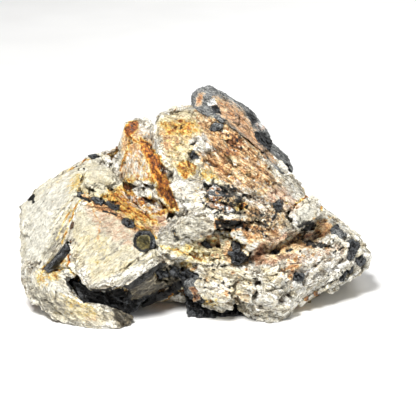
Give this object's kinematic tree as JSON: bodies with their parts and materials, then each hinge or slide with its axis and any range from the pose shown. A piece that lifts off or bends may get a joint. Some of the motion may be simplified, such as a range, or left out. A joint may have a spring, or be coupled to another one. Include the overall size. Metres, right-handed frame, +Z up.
{
  "type": "schorl on albite mineral specimen",
  "caption": "Hand-sized rough mineral specimen: a broken, rust-stained cream albite mass with black schorl crystals and lumps seated in it, resting on a flat underside.",
  "frame": {"origin": "middle of the bounding box's base, on the surface the specimen rests on", "axes": "+X along the specimen's length towards its narrow tip, +Z up, -Y towards the viewer's side with the schorl prism"},
  "size_m": [0.1205, 0.0833, 0.0687],
  "materials": {
    "albite": "rough broken feldspar, cream to white with pearly cleavage faces and rust stains",
    "schorl": "glossy black, ribbed along the crystal"
  },
  "bodies": {
    "root": {"albite_matrix": "albite", "schorl_brown_cluster": "schorl", "schorl_crest": "schorl", "schorl_crest_tooth": "schorl", "schorl_eye": "schorl", "schorl_far_chip_1": "schorl", "schorl_far_chip_2": "schorl", "schorl_far_patch": "schorl", "schorl_far_prism_1": "schorl", "schorl_far_prism_2": "schorl", "schorl_foot": "schorl", "schorl_hollow_mass": "schorl", "schorl_ledge_chip": "schorl", "schorl_ledge_lump": "schorl", "schorl_prism": "schorl", "schorl_ridge_lens": "schorl", "schorl_ridge_sliver_1": "schorl", "schorl_ridge_sliver_2": "schorl", "schorl_ridge_sliver_3": "schorl", "schorl_right_lens": "schorl", "schorl_shelf_chip_1": "schorl", "schorl_shelf_chip_2": "schorl", "schorl_shelf_chip_3": "schorl", "schorl_tip_cluster": "schorl", "schorl_tooth": "schorl", "schorl_top_lens": "schorl", "schorl_under_chip_1": "schorl", "schorl_under_chip_2": "schorl", "schorl_vein": "schorl"}
  },
  "joints": []
}
